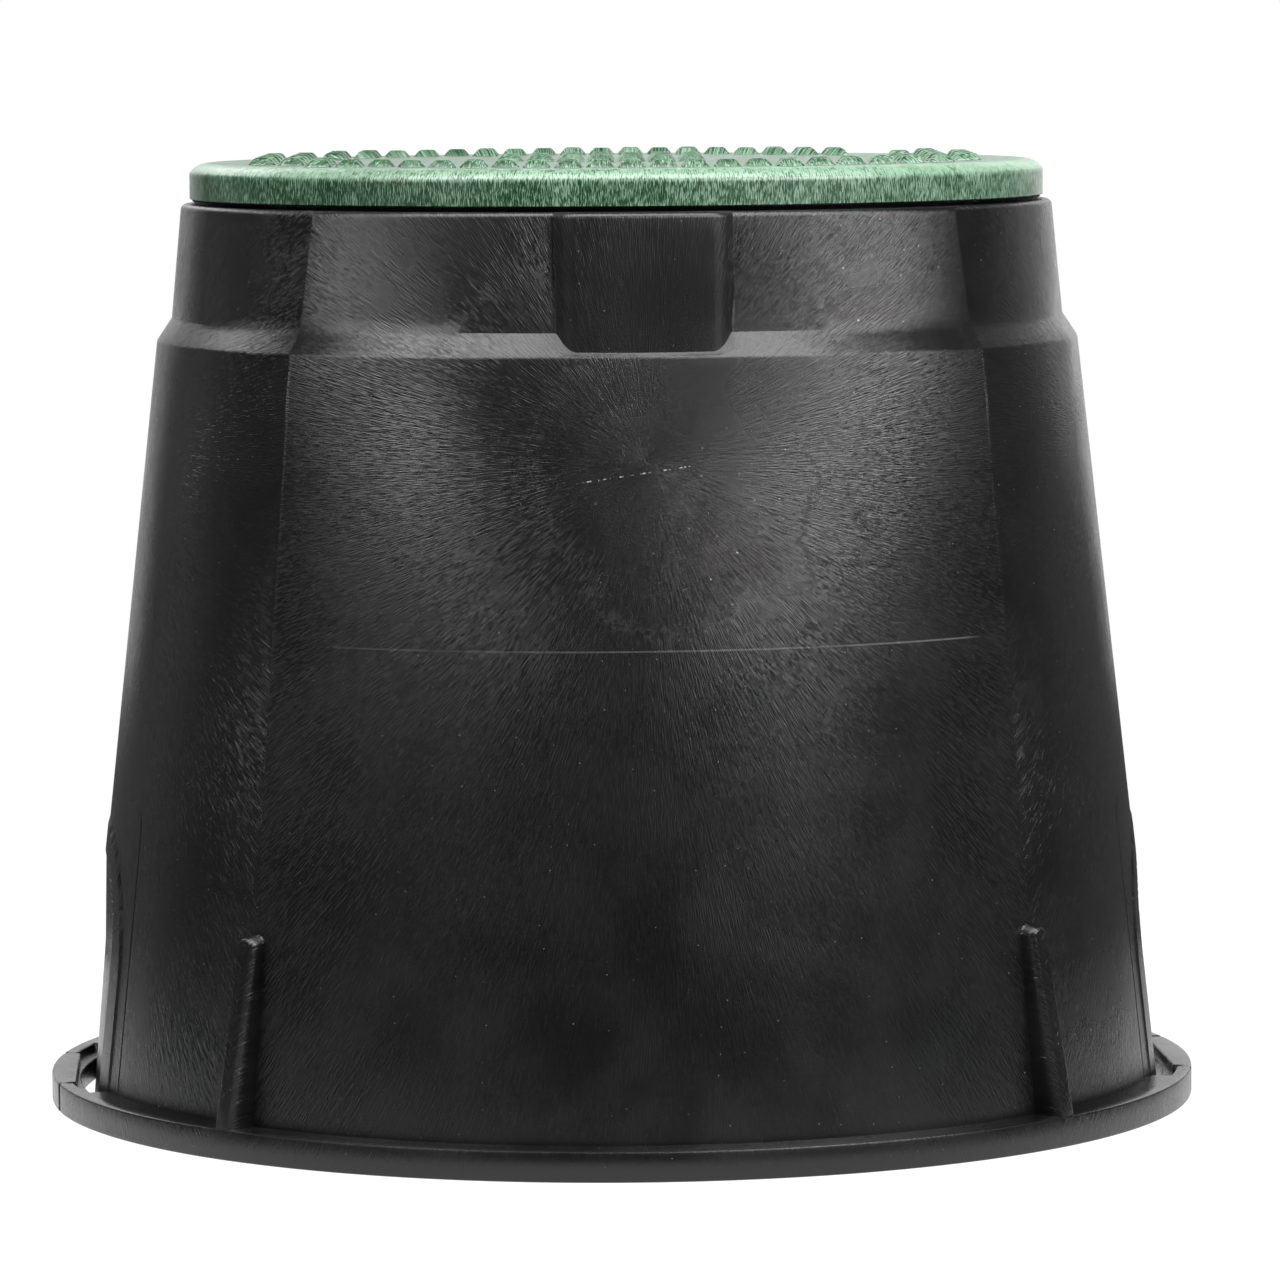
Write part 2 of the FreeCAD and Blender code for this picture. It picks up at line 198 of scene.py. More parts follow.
STUD_CORNER = 0.22
STUD_SUNK = 0.5 * MM
STUD_ROUND = 0.3 * MM
STUD_SHARP_DEG = 24
BARE_CENTRE = (75.5 * MM, 66.0 * MM)
BARE_HALF = (8.5 * MM, 36.0 * MM)

# Unrolled wall: runs up from the flange, with the four panels one step apart
PANEL_UV_STEP = 1.0
WALL_RUN_START = 50.0 * MM
FLANGE_RUN_START = 10.0 * MM
SLANT = math.hypot(SHOULDER_Z, WALL_FOOT_R - SHOULDER_R) / SHOULDER_Z


def wall_run(z):
    """Run up the unrolled wall at a height."""
    return WALL_RUN_START + z * SLANT


# Flow marks of the moulding, on the unrolled wall
GATE_RUN = wall_run(190.0 * MM)
GATE_DULL = (13 * MM, 1 * MM)
GATE_SHARE = 0.3
STREAK_WIDTH = 0.25 * MM
STREAK_LENGTH = 4.2 * MM
PANEL_SEED = 31.0
LEVEL_SEED = 7.3
WITNESS_LINE = ((-96.0 * MM, wall_run(139.4 * MM)), (97.0 * MM, wall_run(139.8 * MM)))
WITNESS_HALF = 0.35 * MM
WITNESS_SPAN = (-60 * MM, 70 * MM)
SCRATCH = ((-18.5 * MM, wall_run(184.6 * MM)), (13.0 * MM, wall_run(189.2 * MM)))
SCRATCH_HALF = 0.22 * MM
FLOW_RING = ((6.0 * MM, wall_run(164.0 * MM)), (23.0 * MM, 21.0 * MM))
RING_WIDTH = 0.2
RING_FADE = (6 * MM, -8 * MM)
WRINKLES = (
    (43.0 * MM, wall_run(150.0 * MM), wall_run(198.0 * MM)),
    (47.0 * MM, wall_run(112.0 * MM), wall_run(158.0 * MM)),
    (57.0 * MM, wall_run(158.0 * MM), wall_run(180.0 * MM)),
)
WRINKLE_WANDER = 6 * MM
WRINKLE_HALF = 1.1 * MM
WRINKLE_CORE = 0.2 * MM
WRINKLE_FADE = 7 * MM
MARK_CORE = 0.3
MARK_END = 0.44
DUST_SPACING = 7.0 * MM
DUST_SIZE = 0.2 * MM
DUST_SHARE = 0.6

# Black plastic: noise scales per metre, colours, strengths of the marks, roughness and relief
CLOUD_SCALE = 45.0
GRAIN_SCALE = 3400.0
DASH_SCALE = 480.0
BREAK_SCALE = 700.0
FLECK_SCALE = 600.0
WANDER_SCALE = 75.0
BLACK_DARK = (0.0015, 0.0015, 0.0017, 1)
BLACK_LIGHT = (0.0055, 0.0055, 0.006, 1)
BLACK_DULL = (0.002, 0.002, 0.0022, 1)
PALE_GREY = (0.62, 0.62, 0.62, 1)
WITNESS_PALE = 0.12
RING_PALE = 0.02
SCRATCH_PALE = 0.6
DUST_PALE = 0.16
SATIN = (0.22, 0.3)
WRINKLE_ROUGH = 0.33
BOSS_ROUGH = 0.1
BOSS_FADE = 1 * MM
BOSS_FOOT_RUN = wall_run(SHOULDER_Z) + 2 * MM
FLOW_SPAN = (10 * MM, 70 * MM)
GATE_FLOW = 0.4
BOSS_FLOW = 0.55
SIDE_FLOW = 0.75
FOOT_FLOW = 0.6
FOOT_SPAN = (wall_run(30 * MM), wall_run(130 * MM))
GRAIN_SHARES = (0.4, 0.1)
WALL_RELIEF = 0.29 * MM

# Green plastic: noise scales per metre, shares of the tone, colours, roughness and relief
THREAD_SCALE = 4000.0
PATCH_SCALE = 130.0
THREAD_STRETCH = 0.12
THREAD_SHARE = 0.78
# Painted light: the lid's tone made paler towards +X, the side of the stronger lamps
PAINTED_SIDE_LIGHT = 0.22
# Painted highlight: the lid's rounded edge made paler where the top light shines, over a band of heights and
# radii
PAINTED_EDGE_HIGHLIGHT = 0.09
EDGE_Z = LID_TOP_Z - LID_ROUND / 2
EDGE_FADE = 1.0 * MM
EDGE_BAND = (LID_R - 7 * MM, LID_R - 4 * MM)
GREEN_TONES = (0.47, 0.62)
GREEN_DARK = (0.004, 0.036, 0.011, 1)
GREEN_PALE = (0.19, 0.3, 0.215, 1)
GREEN_ROUGHNESS = 0.32
THREAD_RELIEF = 0.04 * MM


def smooth_step(low, high, value):
    """0 below low, 1 above high and a cubic ease between them."""
    share = np.clip((value - low) / (high - low), 0, 1)
    return share * share * (3 - 2 * share)


def spread(low, high, step):
    """Even places from low to high, about one step apart."""
    return np.linspace(low, high, max(2, round((high - low) / step) + 1))


def finish_mesh(name, mesh, material, body, node, sharp_deg=34):
    """Object of a mesh with smooth shading, broken at edges that turn by more than sharp_deg."""
    mesh.polygons.foreach_set("use_smooth", np.ones(len(mesh.polygons), bool))
    mesh.set_sharp_from_angle(angle=math.radians(sharp_deg))
    mesh.materials.append(material)
    piece = bpy.data.objects.new(name, mesh)
    bpy.context.scene.collection.objects.link(piece)
    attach(piece, body)
    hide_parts(node)
    return piece


def turned_mesh(name, angles, radius, height, ring_closed, pole_ends=False):
    """Mesh of a grid of rows and angles: x = r sin a, y = -r cos a, z = height.

    radius and height have one row for each line of the profile and one column for each angle. The
    columns close round the axis. With ring_closed the last row joins the first one, and with
    pole_ends the first and last rows are each drawn together into one point on the axis.
    """
    rows, columns = radius.shape
    points = np.stack([radius * np.sin(angles), -radius * np.cos(angles), height], axis=2)
    index = np.arange(rows * columns).reshape(rows, columns)
    lower = index if ring_closed else index[:-1]
    upper = np.roll(index, -1, axis=0) if ring_closed else index[1:]
    quads = np.stack([lower, np.roll(lower, -1, axis=1), np.roll(upper, -1, axis=1), upper], axis=2)
    faces = quads.reshape(-1, 4).tolist()
    points = points.reshape(-1, 3)
    if pole_ends:
        poles = [(0, 0, height[0, 0]), (0, 0, height[-1, 0])]
        points = np.concatenate([points, poles])
        first, last = rows * columns, rows * columns + 1
        ring = index[0]
        faces += np.stack([np.full(columns, first), np.roll(ring, -1), ring], axis=1).tolist()
        ring = index[-1]
        faces += np.stack([np.full(columns, last), ring, np.roll(ring, -1)], axis=1).tolist()
    mesh = bpy.data.meshes.new(name)
    mesh.from_pydata(points.tolist(), [], faces)
    return mesh


def arc_section(angles, panel_r, crease_r, ease=0.0):
    """Radius of a level outline of four equal arcs, panel_r at their middles, crease_r at the diagonals.

    Each arc's circle has its centre beyond the axis by d, so with t the angle from the arc's middle
    the radius is sqrt(R^2 - d^2 sin^2 t) - d cos t. An ease rounds the diagonals: the angle v from the
    diagonal becomes sqrt(v^2 + ease^2).
    """
    to_middle = np.abs((angles + DIAGONAL) % QUARTER - DIAGONAL)
    turn = DIAGONAL - np.hypot(DIAGONAL - to_middle, ease)
    half_chord = crease_r * math.sqrt(0.5)
    rise = panel_r - half_chord
    circle_r = (half_chord ** 2 + rise ** 2) / (2 * rise)
    offset = circle_r - panel_r
    return np.sqrt(circle_r ** 2 - (offset * np.sin(turn)) ** 2) - offset * np.cos(turn)


def wall_radius(angles, z):
    """Flared wall: straight between the round foot and the four-arc shoulder."""
    share = z / SHOULDER_Z
    return (1 - share) * WALL_FOOT_R + share * arc_section(angles, SHOULDER_R, SHOULDER_CREASE_R)


def arch_distance(s, z, half, top, corner):
    """Signed distance to an arch outline in the unrolled wall, below 0 inside it."""
    across = np.abs(s) - half + corner
    above = z - top + corner
    outside = np.hypot(np.maximum(across, 0), np.maximum(above, 0))
    return outside + np.minimum(np.maximum(across, above), 0) - corner


def side_run(angles, r):
    """Distance along the wall from the nearest side, -X or +X."""
    return ((angles % math.pi) - QUARTER) * r


def diagonal_run(angles, r):
    """Distance along the wall from the nearest diagonal."""
    return ((angles % QUARTER) - DIAGONAL) * r


def panel_radius(z):
    """Radius of the recessed knock-out panels: flared at the foot, steep above the bend."""
    return np.interp(z, (0, PANEL_BEND_Z, PANEL_TOP_Z), (PANEL_FOOT_R, PANEL_BEND_R, PANEL_TOP_R))


def add_knock_outs(angles, z, r):
    """Wall radius with the scored field, the raised arch band and the recessed arch panel."""
    s = side_run(angles, WALL_FOOT_R)
    to_score = arch_distance(s, z, SCORE_HALF, SCORE_TOP_Z, SCORE_ROUND)
    to_band = arch_distance(s, z, BAND_HALF, BAND_TOP_Z, BAND_ROUND)
    to_panel = arch_distance(s, z, PANEL_HALF, PANEL_TOP_Z, PANEL_ROUND)
    to_groove = np.minimum(np.abs(to_score), np.abs(to_band - SCORE_WIDTH))
    groove = SCORE_DEPTH * (1 - smooth_step(0, SCORE_WIDTH, to_groove))
    band = BAND_PROUD * (1 - smooth_step(-BAND_EASE, BAND_EASE, to_band))
    dressed = r + np.where(np.abs(s) < DIAGONAL * WALL_FOOT_R, band - groove, 0)
    on_panel = 1 - smooth_step(-PANEL_EASE, PANEL_EASE, to_panel)
    return dressed - np.maximum(dressed - panel_radius(z), 0) * on_panel


def add_ribs(angles, z, r):
    """Wall radius with the gusset ribs: a straight outer edge, rounded sides and a round nose.

    The run from the rib's middle line, or above the nose's centre an oval's distance from it, sets
    the height: full to the start of the rounded edge, then a quarter ellipse, then a steep flank.
    Above the nose's centre the height also falls off as a dome.
    """
    nose_z = RIB_TOP_Z - RIB_NOSE
    above = np.clip((z - nose_z) / RIB_NOSE, 0, 1)
    run = np.hypot(diagonal_run(angles, RIB_TOP_R), above * RIB_HALF)
    edge = np.clip((run - (RIB_HALF - RIB_EDGE)) / RIB_EDGE, 0, 1)
    height = np.sqrt((1 - edge ** 2) * (1 - RIB_DOME * above ** 2))
    share = np.clip((z - FLANGE_H) / (nose_z - FLANGE_H), 0, 1)
    crest = RIB_FOOT_R + (RIB_TOP_R - RIB_FOOT_R) * share
    return r + np.maximum(crest - r, 0) * height


def boss_radius(angles):
    """Radius of the two bosses: a round face, flanks that ease into a straight slope, 0 beside them.

    Past the face's edge the drop is a parabola over the ease, then grows evenly up to the flank's end.
    """
    across = np.abs(BOSS_FACE_R * np.sin(angles))
    past_edge = np.maximum(across - (BOSS_HALF - BOSS_FLANK), 0)
    eased = np.minimum(past_edge, BOSS_EASE)
    drop = BOSS_SLOPE * (eased ** 2 / (2 * BOSS_EASE) + past_edge - eased)
    return np.where(past_edge > BOSS_FLANK, 0, BOSS_FACE_R - drop)


def shell_angles():
    """Angles of the shell's upright lines, closer at the bosses, ribs and knock-outs."""
    boss_low = BOSS_HALF - BOSS_FLANK - BOSS_LINE_MARGIN
    boss_edge = np.arcsin(spread(boss_low, BOSS_HALF + BOSS_LINE_MARGIN, BOSS_LINE_STEP) / BOSS_FACE_R)
    front = np.radians(spread(-PANEL_REACH_DEG, PANEL_REACH_DEG, FRONT_STEP_DEG))
    front = np.concatenate([front, boss_edge, -boss_edge])
    edges = [spread(half - ARCH_LINE_MARGIN, half + ARCH_LINE_MARGIN, ARCH_LINE_STEP)
             for half in (PANEL_HALF, BAND_HALF, SCORE_HALF)]
    runs = np.concatenate([spread(0, SCORE_HALF + SIDE_LINE_MARGIN, SIDE_LINE_STEP), *edges]) / WALL_FOOT_R
    side = np.radians(spread(-PANEL_REACH_DEG, PANEL_REACH_DEG, SIDE_STEP_DEG))
    side = np.concatenate([side, runs, -runs]) + QUARTER
    rib_half = np.array(RIB_LINES) * RIB_HALF / RIB_TOP_R
    rib = np.concatenate([rib_half, -rib_half[1:]]) + DIAGONAL
    half_turn = np.concatenate([front, side, rib, rib + QUARTER])
    lines = np.sort(np.concatenate([half_turn, half_turn + math.pi]) % FULL_TURN)
    gap = np.diff(lines, append=lines[0] + FULL_TURN)
    return lines[gap > LEAST_LINE_GAP / WALL_FOOT_R]


def round_corner(before, corner, after, steps):
    """Rows of a quadratic curve from before to after that bends towards the corner; each is (r, z)."""
    shares = np.linspace(0, 1, steps)[:, None]
    weights = ((1 - shares) ** 2, 2 * shares * (1 - shares), shares ** 2)
    return [
        sum(weight * point[axis] for weight, point in zip(weights, (before, corner, after)))
        for axis in (0, 1)
    ]


def between(start, end, shares):
    """Rows of straight lines from start to end, (r, z) each, at shares of the way."""
    shares = np.asarray(shares)[:, None]
    return [start[axis] + (end[axis] - start[axis]) * shares for axis in (0, 1)]


def towards(start, end, length):
    """Point at a length from start on the way to end, for every column."""
    run = np.hypot(end[0] - start[0], end[1] - start[1])
    return tuple(start[axis] + (end[axis] - start[axis]) * length / run for axis in (0, 1))


def wall_rows(angles):
    """Rows (r, z) up the outside of the flared wall, with crease beads, knock-outs and ribs."""
    fine = spread(FOOT_LIFT, FINE_ROWS_TOP_Z, FINE_ROW_STEP)
    nose = spread(RIB_TOP_Z - RIB_NOSE, RIB_TOP_Z + NOSE_ROW_OVER, NOSE_ROW_STEP)
    clear = (fine < nose[0] - NOSE_ROW_MARGIN) | (fine > nose[-1] + NOSE_ROW_MARGIN)
    upper = spread(FINE_ROWS_TOP_Z, WALL_ROWS_TOP_Z, WALL_ROW_STEP)[1:]
    z = np.unique(np.concatenate([fine[clear], nose, upper]))[:, None] * np.ones_like(angles)
    bead = CREASE_BEAD * np.maximum(1 - np.abs(diagonal_run(angles, RIB_TOP_R)) / CREASE_HALF, 0)
    return add_ribs(angles, z, add_knock_outs(angles, z, wall_radius(angles, z) + bead)), z


def collar_foot(angles):
    """Radius of the collar's foot: four arcs with eased creases."""
    return arc_section(angles, COLLAR_R, COLLAR_CREASE_R, COLLAR_CREASE_EASE)


def collar_rows(angles):
    """Runs of rows (r, z) of the shoulder, the ledge, the collar with its bosses and the rounded rim.

    The ledge runs from the shoulder to where it meets the collar or the boss, so that edge is a line of
    the grid.
    """
    flat = np.ones_like(angles)
    foot_r = collar_foot(angles)
    boss_r = boss_radius(angles)
    shoulder = (wall_radius(angles, SHOULDER_Z * flat), SHOULDER_Z * flat)
    meet_r = np.maximum(foot_r, boss_r)
    slope = (COLLAR_Z - SHOULDER_Z) / (shoulder[0] - foot_r)
    meet = (meet_r, SHOULDER_Z + (shoulder[0] - meet_r) * slope)
    wall_end = (wall_radius(angles, WALL_ROWS_TOP_Z * flat), WALL_ROWS_TOP_Z * flat)
    below = towards(shoulder, wall_end, SHOULDER_ROUND)
    above = towards(shoulder, meet, np.minimum(SHOULDER_ROUND, LEDGE_ROUND_MOST * (meet[1] - SHOULDER_Z)))
    rim_low_z = RIM_Z - RIM_ROUND
    collar_z = meet[1] + (rim_low_z - meet[1]) * np.linspace(0, 1, COLLAR_ROWS)[:, None]
    share = np.clip((collar_z - COLLAR_Z) / (rim_low_z - COLLAR_Z), 0, 1)
    collar_r = np.maximum(foot_r + (RIM_R - foot_r) * share, boss_r)
    turns = np.linspace(0, QUARTER, RIM_ROWS)[1:, None]
    rim_r = np.maximum(RIM_R, boss_r) - RIM_ROUND * (1 - np.cos(turns))
    return [
        round_corner(below, shoulder, above, SHOULDER_ROWS),
        between(above, meet, LEDGE_SHARES),
        (collar_r[1:], collar_z[1:]),
        (rim_r, rim_low_z + RIM_ROUND * np.sin(turns) * flat),
    ]


def inside_rows(angles):
    """Runs of rows (r, z) from the rim's lip down the lid seat, the mouth and the inside to the foot."""
    flat = np.ones_like(angles)
    seat_z = RIM_Z - SEAT_DEPTH
    under_z = seat_z - SEAT_THICK
    lip_r, lip_z = SEAT_R + LIP_THICK, RIM_Z + LIP_H
    lip = np.array([
        (SEAT_R + LIP_FOOT, RIM_Z), (lip_r, lip_z - LIP_EDGE), (lip_r - LIP_EDGE, lip_z),
        (SEAT_R + LIP_EDGE, lip_z), (SEAT_R, lip_z - LIP_EDGE), (SEAT_R, seat_z),
        (MOUTH_R + SMALL_ROUND, seat_z), (MOUTH_R, seat_z - SMALL_ROUND), (MOUTH_R, under_z),
    ])
    z = np.array([under_z, COLLAR_Z, SHOULDER_Z, INSIDE_BEND_Z, FOOT_LIFT])[:, None] * flat
    foot_r = collar_foot(angles) - WALL
    room_r = np.maximum(RIM_R, boss_radius(angles)) - WALL
    above_ledge = foot_r + (room_r - foot_r) * np.clip((z - COLLAR_Z) / (under_z - COLLAR_Z), 0, 1)
    below_ledge = wall_radius(angles, z) - WALL
    to_panel = arch_distance(side_run(angles, WALL_FOOT_R), z, PANEL_HALF, PANEL_TOP_Z, PANEL_ROUND)
    panel_back = np.minimum(below_ledge, panel_radius(z) - PANEL_THICK)
    below_ledge = np.where(to_panel < PANEL_THICK, panel_back, below_ledge)
    inside = np.where(z > SHOULDER_Z + SMALL_ROUND, above_ledge, below_ledge)
    return [(lip[:, :1] * flat, lip[:, 1:] * flat), (inside, z)]


def shell_profile(angles):
    """Rows (r, z) of the box wall: up the outside, over the rim, down the lid seat and the inside."""
    runs = [wall_rows(angles), *collar_rows(angles), *inside_rows(angles)]
    return tuple(np.concatenate([run[axis] for run in runs]) for axis in (0, 1))


def unroll_panels(mesh, angles, radius, height, run_start):
    """UV map of a ring, in metres: across each quarter panel from its middle, up along the section.

    The run up is that of the section half-way from a panel's middle to a diagonal, the same all round.
    The four quarters lie above each other, one PANEL_UV_STEP apart, so each has marks of its own.
    """
    plain = np.argmin(np.abs(angles - 0.5 * DIAGONAL))
    steps = np.hypot(np.diff(radius[:, plain]), np.diff(height[:, plain]))
    run = run_start + np.append(0, np.cumsum(steps))
    last = np.append(angles[1:], angles[0] + FULL_TURN)
    panel = np.floor((0.5 * (angles + last) + DIAGONAL) / QUARTER)
    left = (angles - panel * QUARTER) * SHOULDER_R
    right = (last - panel * QUARTER) * SHOULDER_R
    across = np.broadcast_to(np.stack([left, right, right, left], axis=1), (len(run), len(angles), 4))
    following = np.append(run[1:], run[-1])
    up = np.stack([run, run, following, following], axis=1)[:, None]
    up = up + (panel % 4)[None, :, None] * PANEL_UV_STEP
    layer = mesh.uv_layers.new(name="wall_run")
    layer.data.foreach_set("uv", np.stack([across, up], axis=3).ravel())


def make_shell(material):
    """Box wall with collar, bosses, ribs, knock-outs, rim, lid seat and inside, as one closed ring."""
    angles = shell_angles()
    radius, height = shell_profile(angles)
    mesh = turned_mesh("box_shell", angles, radius, height, ring_closed=True)
    unroll_panels(mesh, angles, radius, height, WALL_RUN_START)
    return finish_mesh("box_shell", mesh, material, "box", "box_body",
                       sharp_deg=SHELL_SHARP_DEG)


def make_flange(material):
    """Flange as a closed ring of section lines: outer face, top, the shelf at the bridges, inner edge.

    The outer face and the top dip by a V at each end of a bridge. Between the bridges' ends the top
    steps down to the shelf along a straight edge, and the inner edge stands off the wall at the slot.
    """
    clusters = [spread(half - BRIDGE_LINE_MARGIN, half + BRIDGE_LINE_MARGIN, BRIDGE_LINE_STEP)
                for half in (BRIDGE_HALF, SLOT_HALF, SHELF_HALF)]
    ends = np.arcsin(np.concatenate(clusters) / FLANGE_R)
    even = np.radians(spread(-90, 90 - FLANGE_STEP_DEG, FLANGE_STEP_DEG))
    half_turn = np.concatenate([even, ends, -ends]) + QUARTER
    angles = np.unique(np.concatenate([half_turn, half_turn + math.pi]) % FULL_TURN)
    run = np.abs(np.cos(angles)) * FLANGE_R
    dip = np.maximum(NOTCH - np.abs(run - BRIDGE_HALF), 0)
    on_shelf = 1 - smooth_step(SHELF_HALF - STEP_EASE, SHELF_HALF + STEP_EASE, run)
    at_slot = 1 - smooth_step(SLOT_HALF - STEP_EASE, SLOT_HALF + STEP_EASE, run)
    outer = FLANGE_R - dip
    top = FLANGE_H - dip
    step_r = np.where(run < BRIDGE_HALF, BRIDGE_X / np.maximum(np.abs(np.sin(angles)), 0.5), SHELF_R)
    shelf = top + (FLANGE_H - SHELF_DROP - top) * on_shelf
    inner = FLANGE_IN_R + (SLOT_R - FLANGE_IN_R) * at_slot
    ground = np.zeros_like(angles)
    edge = SMALL_ROUND * (1 - math.sqrt(0.5))
    section = [
        (inner, ground), (outer - SMALL_ROUND, ground), (outer - edge, ground + edge),
        (outer, ground + SMALL_ROUND), (outer, top - SMALL_ROUND), (outer - edge, top - edge),
        (outer - SMALL_ROUND, top), (step_r + STEP_EASE, top), (step_r, top - STEP_EASE * on_shelf),
        (step_r - STEP_LEAN, shelf), (inner + STEP_EASE, shelf), (inner, shelf - STEP_EASE),
    ]
    radius, height = (np.stack([line[axis] for line in section]) for axis in (0, 1))
    mesh = turned_mesh("flange_ring", angles, radius, height, ring_closed=True)
    unroll_panels(mesh, angles, radius, height, FLANGE_RUN_START)
    return finish_mesh("flange_ring", mesh, material, "box", "box_body")


def make_lid_disc(material):
    """Lid without studs: a turned section from the hub below, round plug ring and skirt, to the top."""
    angles = np.linspace(0, FULL_TURN, LID_LINES, endpoint=False)
    plate_z = LID_TOP_Z - LID_THICK
    rib_z = plate_z - LID_RIB_DEPTH
    plug_in = PLUG_R - PLUG_THICK
    turns = np.linspace(LID_ROUND_START, QUARTER, LID_ROUND_ROWS)
    run_in = LID_ROUND * (math.cos(LID_ROUND_START) - np.cos(turns))
    rounded = np.stack([LID_R - run_in, LID_TOP_Z - LID_ROUND * (1 - np.sin(turns))], axis=1)
    below = [
        (0.3 * LID_HUB_R, rib_z), (LID_HUB_R - SMALL_ROUND, rib_z), (LID_HUB_R, rib_z + SMALL_ROUND),
        (LID_HUB_R, plate_z), (0.5 * plug_in, plate_z), (plug_in, plate_z), (plug_in, PLUG_Z + SMALL_ROUND),
        (plug_in + SMALL_ROUND, PLUG_Z), (PLUG_R - SMALL_ROUND, PLUG_Z), (PLUG_R, PLUG_Z + SMALL_ROUND),
        (PLUG_R, LID_EDGE_Z), (LID_R - LID_LOW_EDGE, LID_EDGE_Z),
        (LID_R, LID_EDGE_Z + LID_LOW_EDGE),
    ]
    skirt_low, skirt_high = LID_EDGE_Z + SKIRT_MARGINS[0], rounded[0, 1] - SKIRT_MARGINS[1]
    skirt = [(LID_R, z) for z in spread(skirt_low, skirt_high, SKIRT_ROW_STEP)]
    top = [(LID_R - 2 * LID_ROUND, LID_TOP_Z), (LID_CORE_R, LID_TOP_Z)]
    section = np.concatenate([below, skirt, rounded, top])
    flat = np.ones_like(angles)
    mesh = turned_mesh("lid_disc", angles, section[:, :1] * flat, section[:, 1:] * flat,
                       ring_closed=False, pole_ends=True)
    return finish_mesh("lid_disc", mesh, material, "cover", "lid")


def block_mesh(name, corners):
    """Mesh of many like blocks: rings of points, stacked from foot to top and closed at both ends.

    corners has the shape (blocks, rings, points in a ring, 3).
    """
    blocks, rings, count, _ = corners.shape
    index = np.arange(blocks * rings * count).reshape(blocks, rings, count)
    lower, upper = index[:, :-1], index[:, 1:]
    sides = np.stack([lower, np.roll(lower, -1, axis=2), np.roll(upper, -1, axis=2), upper], axis=3)
    faces = sides.reshape(-1, 4).tolist() + index[:, -1].tolist() + index[:, 0, ::-1].tolist()
    mesh = bpy.data.meshes.new(name)
    mesh.from_pydata(corners.reshape(-1, 3).tolist(), [], faces)
    return mesh


def make_lid_ribs(material):
    """Radial ribs below the lid: upright blocks from the hub to the plug ring, turned round the axis."""
    plate_z = LID_TOP_Z - LID_THICK
    near, far = 0.5 * LID_HUB_R, PLUG_R - 0.5 * PLUG_THICK
    outline = np.array([(near, -LID_RIB_HALF), (far, -LID_RIB_HALF),
                        (far, LID_RIB_HALF), (near, LID_RIB_HALF)])
    heights = np.array([plate_z - LID_RIB_DEPTH, plate_z + 0.5 * LID_THICK])
    turn = np.arange(LID_RIB_COUNT) * FULL_TURN / LID_RIB_COUNT
    x = np.cos(turn)[:, None] * outline[:, 0] - np.sin(turn)[:, None] * outline[:, 1]
    y = np.sin(turn)[:, None] * outline[:, 0] + np.cos(turn)[:, None] * outline[:, 1]
    corners = np.stack(np.broadcast_arrays(x[:, None], y[:, None], heights[None, :, None]), axis=3)
    mesh = block_mesh("lid_ribs", corners)
    return finish_mesh("lid_ribs", mesh, material, "cover", "lid")


def make_studs(material):
    """Anti-slip studs: bevelled truncated pyramids, in a ring and a core of a staggered grid.

    The columns stand half a step off the axis, and the whole grid is turned about it.
    """
    half = STUD_PITCH / 2
    reach = math.ceil(STUD_FIELD_R / half)
    line, column = np.meshgrid(np.arange(-reach, reach + 1), np.arange(-reach, reach + 1), indexing="ij")
    x, y = ((column + 0.5) * half).ravel(), (line * half).ravel()
    in_patch = (np.abs(x - BARE_CENTRE[0]) < BARE_HALF[0]) & (np.abs(y - BARE_CENTRE[1]) < BARE_HALF[1])
    away = np.hypot(x, y)
    in_ring = (away > STUD_RING_R) & (away < STUD_FIELD_R - STUD_BASE / 2)
    keep = ((line + column) % 2 == 0).ravel() & (in_ring | (away < STUD_CORE_R)) & ~in_patch
    centres = np.stack([x[keep], y[keep]], axis=1)
    bevel = 1 - STUD_CORNER
    octagon = np.array([(bevel, -1), (1, -bevel), (1, bevel), (bevel, 1),
                        (-bevel, 1), (-1, bevel), (-1, -bevel), (-bevel, -1)])
    slope = (STUD_BASE - STUD_TOP) / 2 / STUD_H
    rings = np.array([
        (STUD_BASE / 2 + slope * STUD_SUNK, -STUD_SUNK),
        (STUD_TOP / 2 + slope * STUD_ROUND, STUD_H - STUD_ROUND),
        (STUD_TOP / 2 - STUD_ROUND, STUD_H),
    ])
    plan = rings[:, 0, None, None] * octagon + centres[:, None, None]
    cos_turn, sin_turn = math.cos(STUD_TURN), math.sin(STUD_TURN)
    plan = plan @ np.array([(cos_turn, sin_turn), (-sin_turn, cos_turn)])
    heights = np.broadcast_to(LID_TOP_Z + rings[:, 1, None, None], plan.shape[:3] + (1,))
    mesh = block_mesh("lid_studs", np.concatenate([plan, heights], axis=3))
    return finish_mesh("lid_studs", mesh, material, "cover", "lid", sharp_deg=STUD_SHARP_DEG)


